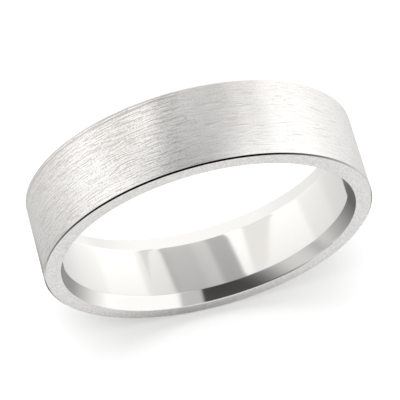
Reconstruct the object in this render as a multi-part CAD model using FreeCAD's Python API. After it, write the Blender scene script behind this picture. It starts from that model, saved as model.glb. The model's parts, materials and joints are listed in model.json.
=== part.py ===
import FreeCAD, Part

import os

# A flat wedding band: one ring turned from a single blank of metal, with no seam,
# liner, inlay or stone. Sizes are in millimetres.
#
# The band stands on its rim. Its axis runs along Y and passes through the origin, the
# centre of the finger hole. The front edge faces -Y, the back edge +Y, and +Z is up.

FINGER_HOLE_DIAMETER = 17.5   # the straight middle of the bore, for a finger 55 mm round
WALL = 1.3                    # from the straight bore out to the outer face
BAND_WIDTH = 5.0              # along the finger, edge to edge
INNER_BEVEL_LENGTH = 0.88     # how far each comfort bevel runs into the bore
INNER_BEVEL_RISE = 0.27       # how much each comfort bevel takes off the edge's inside
OUTER_CORNER_BREAK = 0.1      # the 45 degree flat on each sharp outer corner

AXIS_POINT = FreeCAD.Vector(0, 0, 0)
BAND_AXIS = FreeCAD.Vector(0, 1, 0)
FULL_TURN = 360


def half_section(hole_radius, outer_radius):
    """Radius and distance along the axis of each corner, from mid-width to one edge."""
    edge = BAND_WIDTH / 2
    return [
        (hole_radius, edge - INNER_BEVEL_LENGTH),
        (hole_radius + INNER_BEVEL_RISE, edge),
        (outer_radius - OUTER_CORNER_BREAK, edge),
        (outer_radius, edge - OUTER_CORNER_BREAK),
    ]


def cross_section():
    """The wall of the band, cut by the upright plane through the axis."""
    hole_radius = FINGER_HOLE_DIAMETER / 2
    back_half = half_section(hole_radius, hole_radius + WALL)
    front_half = [(radius, -along) for radius, along in reversed(back_half)]
    corners = [FreeCAD.Vector(0, along, radius) for radius, along in back_half + front_half]
    outline = Part.makePolygon(corners + corners[:1])
    return Part.Face(outline)


def make_band():
    """The whole ring, turned from its cross-section."""
    return cross_section().revolve(AXIS_POINT, BAND_AXIS, FULL_TURN)


def main():
    os.makedirs("parts", exist_ok=True)
    make_band().exportStep("parts/band.step")


main()
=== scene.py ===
"""A flat wedding band: its brushed, satin and polished metal, and a small studio around it."""

import json
import math

import bpy
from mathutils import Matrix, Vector


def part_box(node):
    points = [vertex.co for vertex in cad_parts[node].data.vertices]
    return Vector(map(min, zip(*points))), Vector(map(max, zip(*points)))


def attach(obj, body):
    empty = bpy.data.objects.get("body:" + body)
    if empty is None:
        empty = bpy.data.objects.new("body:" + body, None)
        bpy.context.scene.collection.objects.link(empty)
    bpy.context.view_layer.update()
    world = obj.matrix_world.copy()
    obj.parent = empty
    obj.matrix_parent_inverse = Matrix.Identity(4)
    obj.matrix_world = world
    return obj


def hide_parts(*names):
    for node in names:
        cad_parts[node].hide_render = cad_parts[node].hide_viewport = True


bl_info = {
    "name": "Wedding Band",
    "version": (1, 0, 0),
    "blender": (4, 5, 0),
    "location": "3D Viewport > Sidebar > Wedding Band",
    "description": "Models a flat wedding band in brushed and polished metal, and a studio to show it in",
    "category": "Add Mesh",
}

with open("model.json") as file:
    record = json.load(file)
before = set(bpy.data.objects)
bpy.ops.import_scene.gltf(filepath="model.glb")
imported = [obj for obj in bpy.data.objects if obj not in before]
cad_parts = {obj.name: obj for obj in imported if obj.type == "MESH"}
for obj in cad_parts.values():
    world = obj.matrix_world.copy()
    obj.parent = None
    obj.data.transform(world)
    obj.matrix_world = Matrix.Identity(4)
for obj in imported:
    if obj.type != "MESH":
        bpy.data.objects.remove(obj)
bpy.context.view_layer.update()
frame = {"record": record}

MM = 0.001
DEG = math.pi / 180

# What the band takes from the frame: its outside, its width and its finger hole, in metres.
BAND_LOW, BAND_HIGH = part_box("band")
OUTER_RADIUS = (BAND_HIGH[0] - BAND_LOW[0]) / 2
HALF_WIDTH = (BAND_HIGH[1] - BAND_LOW[1]) / 2
BORE = next(m for m in frame["record"]["mounts"] if m["name"] == "finger_bore")
BORE_RADIUS = BORE["dims"]["r_mm"] * MM
BORE_HALF_LENGTH = BORE["dims"]["length_mm"] * MM / 2


# ---------------------------------------------------------------- sizes and colours


class BandShape(bpy.types.PropertyGroup):
    """Sizes that the frame doesn't give."""

    bevel_rise: bpy.props.FloatProperty(
        name="Bevel Rise",
        description="How far each comfort bevel opens the finger hole at the edge",
        default=0.27 * MM,
        subtype="DISTANCE",
        unit="LENGTH",
    )
    corner_break: bpy.props.FloatProperty(
        name="Corner Break",
        description="Width of the small polished flat that takes the sharpness off an outer corner",
        default=0.1 * MM,
        subtype="DISTANCE",
        unit="LENGTH",
    )
    corner_round: bpy.props.FloatProperty(
        name="Corner Round",
        description="Radius that polishing leaves where two faces meet",
        default=0.02 * MM,
        subtype="DISTANCE",
        unit="LENGTH",
    )
    front_crease_round: bpy.props.FloatProperty(
        name="Front Crease Round",
        description="Radius of the turn from the bore into the front comfort bevel",
        default=0.08 * MM,
        subtype="DISTANCE",
        unit="LENGTH",
    )
    back_crease_round: bpy.props.FloatProperty(
        name="Back Crease Round",
        description="Radius of the turn from the bore into the back comfort bevel, more worn by the mop",
        default=0.8 * MM,
        subtype="DISTANCE",
        unit="LENGTH",
    )
    bore_crown: bpy.props.FloatProperty(
        name="Bore Crown",
        description="How much higher the middle of the bore stands than its two ends",
        default=0.015 * MM,
        subtype="DISTANCE",
        unit="LENGTH",
    )
    bevel_crown: bpy.props.FloatProperty(
        name="Bevel Crown",
        description="How far the middle of each comfort bevel stands proud of a straight cone",
        default=0.002 * MM,
        subtype="DISTANCE",
        unit="LENGTH",
    )
    segments: bpy.props.IntProperty(
        name="Segments",
        description="Straight facets around the band",
        default=720,
        min=64,
        max=1440,
    )


class BandFinish(bpy.types.PropertyGroup):
    """Colours of the metal."""

    metal: bpy.props.FloatVectorProperty(
        name="Metal",
        description="Colour of the bare polished metal",
        default=(0.86, 0.845, 0.82),
        size=3,
        min=0,
        max=1,
        subtype="COLOR",
    )
    brushed_metal: bpy.props.FloatVectorProperty(
        name="Brushed Metal",
        description="Colour of the metal where brushing has dulled it",
        default=(0.96, 0.946, 0.925),
        size=3,
        min=0,
        max=1,
        subtype="COLOR",
    )


class Studio(bpy.types.PropertyGroup):
    """Colours of what stands around the band."""

    floor: bpy.props.FloatVectorProperty(
        name="Floor",
        description="Colour of the pale floor",
        default=(0.92, 0.92, 0.92),
        size=3,
        min=0,
        max=1,
        subtype="COLOR",
    )


# ---------------------------------------------------------------- shader maths


class Wire:
    """A socket that can be added to, multiplied and compared like a number."""

    def __init__(self, sheet, socket):
        self.sheet = sheet
        self.socket = socket

    def _math(self, operation, *others):
        node = self.sheet.node("ShaderNodeMath", operation=operation)
        for place, value in enumerate((self, *others)):
            self.sheet.feed(node.inputs[place], value)
        return Wire(self.sheet, node.outputs[0])

    def __add__(self, other):
        return self._math("ADD", other)

    __radd__ = __add__

    def __mul__(self, other):
        return self._math("MULTIPLY", other)

    def __sub__(self, other):
        return self._math("SUBTRACT", other)

    def power(self, other):
        return self._math("POWER", other)

    def size(self):
        """The value without its sign."""
        return self._math("ABSOLUTE")

    def sine(self):
        return self._math("SINE")

    def angle_from(self, other):
        """The angle whose sine goes with this wire and whose cosine goes with the other, in degrees."""
        return self._math("ARCTAN2", other) * (1 / DEG)

    def _rise(self, kind, low, high):
        return self.sheet.out(
            "ShaderNodeMapRange",
            {"interpolation_type": kind},
            {"Value": self, "From Min": low, "From Max": high, "To Min": 0.0, "To Max": 1.0},
        )

    def span(self, low, high):
        """0 up to low and 1 from high on, with a straight rise between."""
        return self._rise("LINEAR", low, high)

    def step(self, low, high):
        """0 up to low and 1 from high on, with a smooth rise between. low may be above high."""
        return self._rise("SMOOTHSTEP", low, high)


class Sheet:
    """The nodes of one material or world."""

    def __init__(self, tree):
        self.tree = tree

    def node(self, kind, **settings):
        made = self.tree.nodes.new(kind)
        for name, value in settings.items():
            setattr(made, name, value)
        return made

    def feed(self, socket, value):
        if isinstance(value, Wire):
            self.tree.links.new(value.socket, socket)
        else:
            socket.default_value = value

    def out(self, kind, settings, inputs, output=0):
        """A new node's output. settings are the node's own, set first; inputs are values or wires."""
        made = self.node(kind, **settings)
        for name, value in inputs.items():
            self.feed(made.inputs[name], value)
        return Wire(self, made.outputs[output])

    def ramp(self, turn, *stops):
        """A grey that depends on an angle: stops are pairs of degrees, -180 to 180, and brightness."""
        made = self.node("ShaderNodeValToRGB")
        elements = made.color_ramp.elements
        places = [(angle + 180) / 360 for angle, _ in stops]
        elements[0].position = places[0]
        elements[1].position = places[-1]
        for place in places[1:-1]:
            elements.new(place)
        for element, (_, level) in zip(elements, stops):
            element.color = (level, level, level, 1)
        self.feed(made.inputs[0], (turn + 180) * (1 / 360))
        return Wire(self, made.outputs[0])

    def vector(self, x, y, z):
        return self.out("ShaderNodeCombineXYZ", {}, {"X": x, "Y": y, "Z": z})

    def split(self, vector):
        made = self.node("ShaderNodeSeparateXYZ")
        self.feed(made.inputs[0], vector)
        return [Wire(self, made.outputs[axis]) for axis in range(3)]

    def mix_colour(self, share, first, second):
        """first where share is 0, second where it is 1."""
        made = self.node("ShaderNodeMix", data_type="RGBA")
        self.feed(made.inputs[0], share)
        self.feed(made.inputs[6], first)
        self.feed(made.inputs[7], second)
        return Wire(self, made.outputs[2])


# ---------------------------------------------------------------- the band's outline


def arc(before, corner, after, rounding, steps):
    """Points of the arc that rounds the corner on the way from before to after."""
    arm_in = (Vector(before) - Vector(corner)).normalized()
    arm_out = (Vector(after) - Vector(corner)).normalized()
    half = arm_in.angle(arm_out) / 2
    centre = Vector(corner) + (arm_in + arm_out).normalized() * (rounding / math.sin(half))
    first = Vector(corner) + arm_in * (rounding / math.tan(half)) - centre
    last = Vector(corner) + arm_out * (rounding / math.tan(half)) - centre
    sweep = math.atan2(first.x * last.y - first.y * last.x, first.dot(last))
    start = math.atan2(first.y, first.x)
    turns = [start + sweep * step / steps for step in range(steps + 1)]
    return [
        (centre.x + rounding * math.cos(turn), centre.y + rounding * math.sin(turn))
        for turn in turns
    ]


def bowed(start, end, bow, steps):
    """Points strictly between start and end, lifted toward the axis by bow at the middle."""
    points = []
    for step in range(1, steps):
        share = step / steps
        lift = bow * 4 * share * (1 - share)
        points.append(
            (
                start[0] + (end[0] - start[0]) * share - lift,
                start[1] + (end[1] - start[1]) * share,
            )
        )
    return points


def half_outline(shape, crease_round):
    """The wall's outline as (radius, along), from the middle of the bore round to mid-width outside."""
    crease = (BORE_RADIUS + shape.bore_crown, BORE_HALF_LENGTH)
    lip = (BORE_RADIUS + shape.bevel_rise, HALF_WIDTH)
    rim = (OUTER_RADIUS - shape.corner_break, HALF_WIDTH)
    shoulder = (OUTER_RADIUS, HALF_WIDTH - shape.corner_break)
    middle_in = (BORE_RADIUS, 0)
    middle_out = (OUTER_RADIUS, 0)

    turn = arc(middle_in, crease, lip, crease_round, 5)
    inner_lip = arc(crease, lip, rim, shape.corner_round, 4)
    outer_lip = arc(lip, rim, shoulder, shape.corner_round, 3)
    outer_corner = arc(rim, shoulder, middle_out, shape.corner_round, 3)

    crown = [
        (BORE_RADIUS + shape.bore_crown * share**2, BORE_HALF_LENGTH * share)
        for share in (0, 0.12, 0.24, 0.36, 0.48, 0.6, 0.72, 0.84)
    ]
    bevel = bowed(turn[-1], inner_lip[0], shape.bevel_crown, 8)
    return crown + turn + bevel + inner_lip + outer_lip + outer_corner


def outline(shape):
    """The whole closed outline, once round."""
    back = half_outline(shape, shape.back_crease_round)
    front = half_outline(shape, shape.front_crease_round)[1:]
    return back + [(radius, -along) for radius, along in reversed(front)]


# ---------------------------------------------------------------- modelling helpers


def start_piece(name):
    """Leaves edit mode with nothing selected, ready for a primitive that will be called name."""
    if bpy.context.object and bpy.context.object.mode != "OBJECT":
        bpy.ops.object.mode_set(mode="OBJECT")
    bpy.ops.object.select_all(action="DESELECT")
    if name in bpy.data.objects:
        raise RuntimeError(f"{name} is already there")


def turn_band(shape):
    """A closed ring of metal, drawn out from a circle, one loop for each point of the outline."""
    points = outline(shape)
    first_radius, first_along = points[0]
    bpy.ops.mesh.primitive_circle_add(
        vertices=shape.segments,
        radius=first_radius,
        fill_type="NOTHING",
        location=(0, first_along, 0),
        rotation=(math.pi / 2, 0, 0),
    )
    band = bpy.context.object
    bpy.ops.object.transform_apply(location=True, rotation=True, scale=True)
    bpy.ops.object.mode_set(mode="EDIT")
    bpy.ops.mesh.select_mode(type="EDGE")
    bpy.ops.mesh.select_all(action="SELECT")
    radius, along = first_radius, first_along
    for next_radius, next_along in points[1:]:
        bpy.ops.mesh.extrude_edges_move(
            TRANSFORM_OT_translate={"value": (0, next_along - along, 0)}
        )
        growth = next_radius / radius
        bpy.ops.transform.resize(
            value=(growth, 1, growth), center_override=(0, next_along, 0)
        )
        radius, along = next_radius, next_along
    bpy.ops.mesh.select_all(action="DESELECT")
    bpy.ops.mesh.select_non_manifold()
    bpy.ops.mesh.bridge_edge_loops()
    bpy.ops.mesh.select_all(action="SELECT")
    bpy.ops.mesh.remove_doubles(threshold=MM / 10000)
    bpy.ops.mesh.normals_make_consistent(inside=False)
    bpy.ops.object.mode_set(mode="OBJECT")
    return band


def finish_surface(piece, materials, slot_of):
    """Gives each face its material, and shades flats flat and rounds round."""
    for material in materials:
        piece.data.materials.append(material)
    for face in piece.data.polygons:
        face.material_index = slot_of(face)
    bpy.ops.object.shade_smooth()
    weighted = piece.modifiers.new("Flat faces stay flat", "WEIGHTED_NORMAL")
    weighted.weight = 100
    bpy.ops.object.modifier_apply(modifier=weighted.name)


# ---------------------------------------------------------------- materials


def new_metal(name, colour, roughness):
    """A bare metal, and the sheet of its nodes."""
    material = bpy.data.materials.new(name)
    material.use_nodes = True
    sheet = Sheet(material.node_tree)
    shader = material.node_tree.nodes["Principled BSDF"]
    shader.inputs["Base Color"].default_value = (*colour, 1)
    shader.inputs["Metallic"].default_value = 1
    shader.inputs["Roughness"].default_value = roughness
    return material, sheet, shader


def place_in_mm(sheet):
    """The point on the band, in millimetres: across, along the finger and up."""
    place = sheet.out("ShaderNodeTexCoord", {}, {}, output=3)
    return [axis * 1000 for axis in sheet.split(place)]


def noise(place, pace, detail, roughness=0.5, shift=0.0):
    """Soft noise from 0 to 1. pace is how many cells it has in a millimetre, across, along and up."""
    across, along, up = place
    across_pace, along_pace, up_pace = pace
    sheet = across.sheet
    vector = sheet.vector(across * across_pace + shift, along * along_pace, up * up_pace)
    return sheet.out(
        "ShaderNodeTexNoise",
        {"noise_dimensions": "3D"},
        {"Vector": vector, "Scale": 1.0, "Detail": detail, "Roughness": roughness},
    )


def bump(sheet, height, depth):
    """A normal for a relief whose height runs from 0 to 1 and is depth metres deep."""
    return sheet.out(
        "ShaderNodeBump", {}, {"Strength": 1.0, "Distance": depth, "Height": height}
    )


def groove(along, place, outer, inner):
    """1 along a thin line round the band at place, and 0 from outer away from it, in millimetres."""
    off = along - place
    return (off * off).step(outer**2, inner**2)


def brushed_metal(finish):
    """The outer face: fine streaks that run round the band, with a few deeper scratches and pits, and
    painted shade toward the back and the left end.
    """
    roughness = 0.28
    relief_depth = 0.003 * MM
    # The dark end of the colour mix: it shows the streaks, scratches and pits, and also the painted
    # shade.
    worn_colour = (0.59, 0.57, 0.54, 1)
    radians_per_mm = 42
    evenness = 0.78
    # Painted shade: how much darker the metal is painted toward the back edge and toward the left end.
    back_painted_shade, left_painted_shade = 0.25, 0.2
    edge = HALF_WIDTH / MM

    material, sheet, shader = new_metal("Brushed Metal", finish.brushed_metal, roughness)
    place = place_in_mm(sheet)
    across, along, _ = place

    # The brush lines are a wavering sine across the width, broken into streaks by slow noise.
    wander = noise(place, (0.5, 1.5, 0.5), 1.0) * 12
    lines = (along * radians_per_mm + wander).sine()
    streak = noise(place, (1, 7, 1), 1.0)
    hair = lines * (streak - 0.5)
    grain = noise(place, (10, 10, 10), 0.0)

    # Two deeper lines near the back edge, on the left half only.
    waver = along - wander * 0.012
    grooves = groove(waver, edge - 0.42, 0.07, 0.03) + groove(waver, edge - 0.22, 0.06, 0.02)
    grooves = grooves * across.step(0, -3)
    scratch = noise(place, (0.9, 8, 0.9), 0.0, shift=7).step(0.7, 0.78)
    pit = noise(place, (4, 4, 4), 0.0, shift=4).step(0.84, 0.87)
    marks = grooves + pit

    # The brush streaks get more colour contrast on the left, painted light that copies light raking
    # across them there, and the metal is painted darker toward the back and the left end: painted shade.
    raking_light_contrast = across.step(0.5, -2.5) - across.step(-5, -10) * 0.7
    painted_shade = along.span(-edge, edge) * back_painted_shade + across.step(-6.5, -8.5) * left_painted_shade
    light = hair * 3 + (streak - 0.5) * 0.4 + (grain - 0.5) * 0.8
    shine = light * (0.4 + raking_light_contrast * 1.3) + evenness - painted_shade - scratch * 0.3 - marks
    colour = sheet.mix_colour(shine, worn_colour, (*finish.brushed_metal, 1))
    relief = hair + streak * 0.3 + grain * 0.3 - scratch * 0.5 - marks

    sheet.feed(shader.inputs["Base Color"], colour)
    sheet.feed(shader.inputs["Roughness"], roughness + (streak - 0.5) * 0.15)
    sheet.feed(shader.inputs["Normal"], bump(sheet, relief, relief_depth))
    return material


def satin_metal(finish):
    """The two flat edges: an even fine satin grain."""
    roughness = 0.34
    relief_depth = 0.002 * MM
    worn_share = 0.79

    material, sheet, shader = new_metal("Satin Metal", finish.brushed_metal, roughness)
    place = place_in_mm(sheet)
    grain = noise(place, (11, 11, 11), 1.0, roughness=0.65)
    cloud = noise(place, (1.6, 1.6, 1.6), 2.0)
    shine = (grain * 0.9 + cloud * 0.1).step(0.35, 0.65)
    worn_colour = tuple(worn_share * value for value in finish.brushed_metal)
    colour = sheet.mix_colour(shine, (*worn_colour, 1), (*finish.brushed_metal, 1))

    sheet.feed(shader.inputs["Base Color"], colour)
    sheet.feed(shader.inputs["Roughness"], roughness + (grain - 0.5) * 0.1)
    sheet.feed(shader.inputs["Normal"], bump(sheet, grain, relief_depth))
    return material


def polished_metal(finish):
    """The bore, the bevels and the corner breaks: polished, with a buffing wheel's faint unevenness."""
    roughness = 0.06
    relief_depth = 0.004 * MM

    material, sheet, shader = new_metal("Polished Metal", finish.metal, roughness)
    place = place_in_mm(sheet)
    smear = noise(place, (0.8, 1.5, 0.8), 3.0)
    wave = noise(place, (0.25, 0.3, 0.25), 1.0)

    sheet.feed(shader.inputs["Roughness"], roughness + smear * 0.05)
    sheet.feed(shader.inputs["Normal"], bump(sheet, wave, relief_depth))
    return material


# ---------------------------------------------------------------- the studio's surroundings


# Directions around the band are given by two numbers. turn is the angle from overhead, in degrees:
# positive to the right, negative to the left, 180 straight down. lean is how far the direction
# points to the back: 1 straight back, -1 straight to the front. Brightness 1 is plain white.


def back_wall(sheet, turn, lean):
    """What the bore and the outer face show: two soft boxes, and a row of grey panels between."""
    lean_low, lean_high = 0.355, 0.47
    height = lean.span(lean_low, lean_high)
    slant = 8
    wall = sheet.ramp(
        turn - (height - 0.5) * slant,
        (-165, 0.75),
        (-130, 0.85),
        (-120, 0.95),
        (-95, 1.0),
        (-90, 1.15),
        (-35, 1.15),
        (-30, 1.2),
        (-25, 1.2),
        (-23, 0.5),
        (-8, 0.5),
        (-5, 0.7),
        (5, 0.65),
        (8, 0.6),
        (25, 0.6),
        (31, 0.55),
        (34, 0.95),
        (53, 1.0),
        (57, 1.2),
        (90, 1.2),
        (97, 1.1),
        (120, 1.0),
        (135, 0.9),
        (165, 0.75),
    )
    wall = wall * (height * 0.24 + 0.86)

    # A beige wedge, narrower toward the bottom, left of the panels.
    beige = (0.93, 0.925, 0.91, 1)
    wedge = (turn + height * 22 + 43).step(-2, 2) * (turn + 36).step(3, -1)
    wall = sheet.mix_colour(wedge, wall, beige)

    # A grey triangle that hangs from the top, right of the panels.
    grey = (0.82, 0.82, 0.82, 1)
    from_middle = (turn - 48.5).size()
    triangle = (height * 9 - 3.6 - from_middle).step(-0.8, 0.8)
    return sheet.mix_colour(triangle, wall, grey)


def side_cards(sheet, turn):
    """What most of the front bevel shows: bright cards, a dark one overhead, and dark low sides."""
    return sheet.ramp(
        turn,
        (-155, 0.15),
        (-140, 0.25),
        (-130, 0.35),
        (-115, 0.5),
        (-100, 0.7),
        (-95, 0.75),
        (-80, 0.95),
        (-55, 1.25),
        (-45, 1.1),
        (-35, 0.7),
        (-25, 0.35),
        (10, 0.35),
        (25, 1.2),
        (55, 1.3),
        (60, 1.45),
        (85, 1.3),
        (95, 1.05),
        (105, 0.85),
        (115, 0.65),
        (130, 0.4),
        (140, 0.35),
        (165, 0.3),
        (175, 0.15),
    )


def dark_front(sheet, turn, lean):
    """What the lowest part of the front bevel shows: a black card with a soft, slanting left end."""
    upright_at, degrees_per_lean = -0.135, 350
    slant = (lean - upright_at) * degrees_per_lean * turn.step(-10, -22)
    return sheet.ramp(
        turn - slant,
        (-165, 0.7),
        (-130, 0.5),
        (-110, 0.7),
        (-90, 0.75),
        (-75, 0.7),
        (-63, 0.55),
        (-50, 0.35),
        (-40, 0.2),
        (-30, 0.1),
        (-20, 0.06),
        (9, 0.06),
        (10, 0.6),
        (25, 0.6),
        (29, 1.15),
        (85, 1.15),
        (95, 1.05),
        (105, 0.85),
        (115, 0.6),
        (145, 0.8),
    )


def black_flag(sheet, turn):
    """What the front corner break shows: a long black strip that fades toward both ends."""
    return sheet.ramp(
        turn,
        (-160, 0.6),
        (-150, 0.45),
        (-130, 0.25),
        (-110, 0.05),
        (-95, 0.0),
        (70, 0.0),
        (85, 0.1),
        (100, 0.25),
        (115, 0.5),
        (130, 0.8),
    )


def far_back(sheet, turn):
    """What the back bevel shows: white, a little brighter overhead."""
    return sheet.ramp(
        turn,
        (-150, 0.95),
        (-100, 1.0),
        (-60, 1.1),
        (60, 1.15),
        (85, 1.1),
        (110, 1.0),
        (135, 0.95),
    )


def on_flag(turn, lean):
    """1 on the black flag, which hangs in an arch low in front of the band, and 0 off it."""
    arch_middle, arch_reach, arch_drop = -11, 150, 0.9
    arch = (turn - arch_middle).size().power(3) * (arch_drop / arch_reach**3) - arch_drop
    off_arch = lean - arch
    return (off_arch * off_arch).step(0.13**2, 0.08**2)


def reflected_studio(sheet):
    """What polished metal sees around the band, by direction, from the front to the back."""
    low_front = (0.85, 0.85, 0.85, 1)
    direction = sheet.out("ShaderNodeTexCoord", {}, {}, output=0)
    right, lean, up = sheet.split(direction)
    turn = right.angle_from(up)

    on_cards = lean.step(-0.01, 0.03)
    seen = sheet.mix_colour(on_cards, dark_front(sheet, turn, lean), side_cards(sheet, turn))
    # The side cards reach farther back where they hang lowest, almost under the band.
    reach = turn.size().span(154, 168) * 0.1
    on_wall = (lean - reach).step(0.315, 0.34)
    seen = sheet.mix_colour(on_wall, seen, back_wall(sheet, turn, lean))
    seen = sheet.mix_colour(lean.step(0.62, 0.7), seen, far_back(sheet, turn))
    # In front and low, all is plain but for the flag.
    low = lean.step(-0.22, -0.25)
    seen = sheet.mix_colour(low, seen, low_front)
    return sheet.mix_colour(on_flag(turn, lean) * low, seen, black_flag(sheet, turn))


def make_world():
    """Pale light from all round for the floor, and the studio's cards and dark front for the metal."""
    room_light = (1.1, 1.1, 1.1, 1)
    world = bpy.data.worlds.new("Studio")
    bpy.context.scene.world = world
    world.use_nodes = True
    world.node_tree.nodes.clear()
    sheet = Sheet(world.node_tree)
    path = sheet.node("ShaderNodeLightPath")
    glossy = Wire(sheet, path.outputs["Is Glossy Ray"])
    colour = sheet.mix_colour(glossy, room_light, reflected_studio(sheet))
    background = sheet.out("ShaderNodeBackground", {}, {"Color": colour, "Strength": 1.0})
    output = sheet.node("ShaderNodeOutputWorld")
    sheet.feed(output.inputs["Surface"], background)
    return world


def add_floor(studio):
    """A wide pale floor that the band stands on. Reflections show the studio's cards in its place."""
    bpy.ops.mesh.primitive_circle_add(
        vertices=128, radius=0.6, fill_type="NGON", location=(0, 0, -OUTER_RADIUS)
    )
    floor = bpy.context.object
    floor.name = "floor"
    material = bpy.data.materials.new("Pale Floor")
    material.use_nodes = True
    shader = material.node_tree.nodes["Principled BSDF"]
    shader.inputs["Base Color"].default_value = (*studio.floor, 1)
    shader.inputs["Roughness"].default_value = 0.6
    floor.data.materials.append(material)
    floor.visible_glossy = False
    return floor


def shaded_floor(middle, front):
    """A painted shadow: a glow that is dim at the middle of the front edge and grows to the floor's white
    around it.
    """
    half_length, depth = 11, 2
    dim, gain = 0.3, 0.45

    material = bpy.data.materials.new("Shaded Floor")
    material.use_nodes = True
    sheet = Sheet(material.node_tree)
    shader = material.node_tree.nodes["Principled BSDF"]
    across, along, _ = place_in_mm(sheet)
    sideways = (across - middle) * (1 / half_length)
    forward = (along - front) * (1 / depth)
    off = (sideways * sideways + forward * forward).power(0.5)
    shader.inputs["Base Color"].default_value = (0, 0, 0, 1)
    shader.inputs["Emission Strength"].default_value = 1
    # The card glows, and its dim glow is the painted shadow of the band on the floor.
    sheet.feed(shader.inputs["Emission Color"], off.span(0, 1.1) * gain + dim)
    return material


def add_floor_shade():
    """The floor in the band's own shadow, right in front of it. Only reflections show it."""
    middle, length, width = -1.3, 24, 2.2
    front = -HALF_WIDTH / MM
    bpy.ops.mesh.primitive_plane_add(
        size=1, location=(middle * MM, (front - width / 2) * MM, -OUTER_RADIUS)
    )
    shade = bpy.context.object
    shade.name = "floor_shade"
    shade.scale = (length * MM, width * MM, 1)
    bpy.ops.object.transform_apply(location=True, rotation=True, scale=True)
    shade.data.materials.append(shaded_floor(middle, front))
    shade.visible_camera = False
    shade.visible_diffuse = False
    shade.visible_shadow = False
    return shade


def add_softbox(name, place, target, size, power):
    """A square soft light that points at target and that no reflection shows."""
    data = bpy.data.lights.new(name, "AREA")
    data.energy = power
    data.size = size
    light = bpy.data.objects.new(name, data)
    bpy.context.collection.objects.link(light)
    light.location = place
    aim = Vector(target) - Vector(place)
    light.rotation_euler = aim.to_track_quat("-Z", "Y").to_euler()
    light.visible_glossy = False
    return light


def add_camera():
    """The studio camera: a long lens, high in front and a little to the left."""
    azimuth, elevation = -14.36 * DEG, 63.67 * DEG
    distance = 16.22 * OUTER_RADIUS
    aim_right, aim_up = 0.006 * OUTER_RADIUS, 0.021 * OUTER_RADIUS
    back = Vector(
        (
            math.sin(azimuth) * math.cos(elevation),
            -math.cos(azimuth) * math.cos(elevation),
            math.sin(elevation),
        )
    )
    turn = (-back).to_track_quat("-Z", "Y")
    data = bpy.data.cameras.new("Camera")
    data.lens = 245.8
    data.sensor_width = 36
    data.clip_start = 0.01
    data.clip_end = 10
    camera = bpy.data.objects.new("Camera", data)
    bpy.context.collection.objects.link(camera)
    camera.location = turn @ Vector((aim_right, aim_up, 0)) + back * distance
    camera.rotation_euler = turn.to_euler()
    bpy.context.scene.camera = camera
    return camera


# ---------------------------------------------------------------- operators and panel


class MESH_OT_wedding_band(bpy.types.Operator):
    """Model the band in one piece and give each face its finish"""

    bl_idname = "mesh.wedding_band"
    bl_label = "Wedding Band"
    bl_options = {"REGISTER", "UNDO"}

    def execute(self, context):
        shape = context.scene.band_shape
        finish = context.scene.band_finish
        start_piece("wedding_band")
        band = turn_band(shape)
        band.name = "wedding_band"
        brushed, satin, polished = range(3)
        lip = BORE_RADIUS + shape.bevel_rise
        rim = OUTER_RADIUS - shape.corner_break

        def slot_of(face):
            radius = math.hypot(face.center.x, face.center.z)
            facing_along = abs(face.normal.y)
            if facing_along < 0.2 and radius > rim + shape.corner_break / 2:
                return brushed
            if facing_along > 0.98 and lip < radius < rim:
                return satin
            return polished

        finish_surface(
            band, [brushed_metal(finish), satin_metal(finish), polished_metal(finish)], slot_of
        )
        # The band doesn't mirror itself: its metal shows the studio's cards alone.
        band.visible_glossy = False
        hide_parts("band")
        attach(band, "root")
        return {"FINISHED"}


class SCENE_OT_band_studio(bpy.types.Operator):
    """Set up the pale floor, the soft light, the camera and what the metal reflects"""

    bl_idname = "scene.band_studio"
    bl_label = "Band Studio"
    bl_options = {"REGISTER", "UNDO"}

    def execute(self, context):
        studio = context.scene.band_studio
        start_piece("floor")
        make_world()
        add_floor(studio)
        add_floor_shade()
        add_softbox("Top Light", place=(-0.05, 0.1, 0.35), target=(0, 0, 0), size=0.3, power=0.6)
        add_camera()
        bpy.context.scene.view_settings.view_transform = "Standard"
        return {"FINISHED"}


class VIEW3D_PT_wedding_band(bpy.types.Panel):
    """Buttons and sizes for the wedding band"""

    bl_idname = "VIEW3D_PT_wedding_band"
    bl_label = "Wedding Band"
    bl_space_type = "VIEW_3D"
    bl_region_type = "UI"
    bl_category = "Wedding Band"

    def draw(self, context):
        scene = context.scene
        for operator, group in (
            (MESH_OT_wedding_band, scene.band_shape),
            (None, scene.band_finish),
            (SCENE_OT_band_studio, scene.band_studio),
        ):
            column = self.layout.column()
            if operator:
                column.operator(operator.bl_idname)
            for name in group.bl_rna.properties.keys():
                if name not in ("rna_type", "name"):
                    column.prop(group, name)


CLASSES = (
    BandShape,
    BandFinish,
    Studio,
    MESH_OT_wedding_band,
    SCENE_OT_band_studio,
    VIEW3D_PT_wedding_band,
)
SETTINGS = {"band_shape": BandShape, "band_finish": BandFinish, "band_studio": Studio}


def register():
    for cls in CLASSES:
        bpy.utils.register_class(cls)
    for name, group in SETTINGS.items():
        setattr(bpy.types.Scene, name, bpy.props.PointerProperty(type=group))


def unregister():
    for name in SETTINGS:
        delattr(bpy.types.Scene, name)
    for cls in reversed(CLASSES):
        bpy.utils.unregister_class(cls)


def main():
    register()
    bpy.ops.mesh.wedding_band()
    bpy.ops.scene.band_studio()


if __name__ == "__main__":
    main()
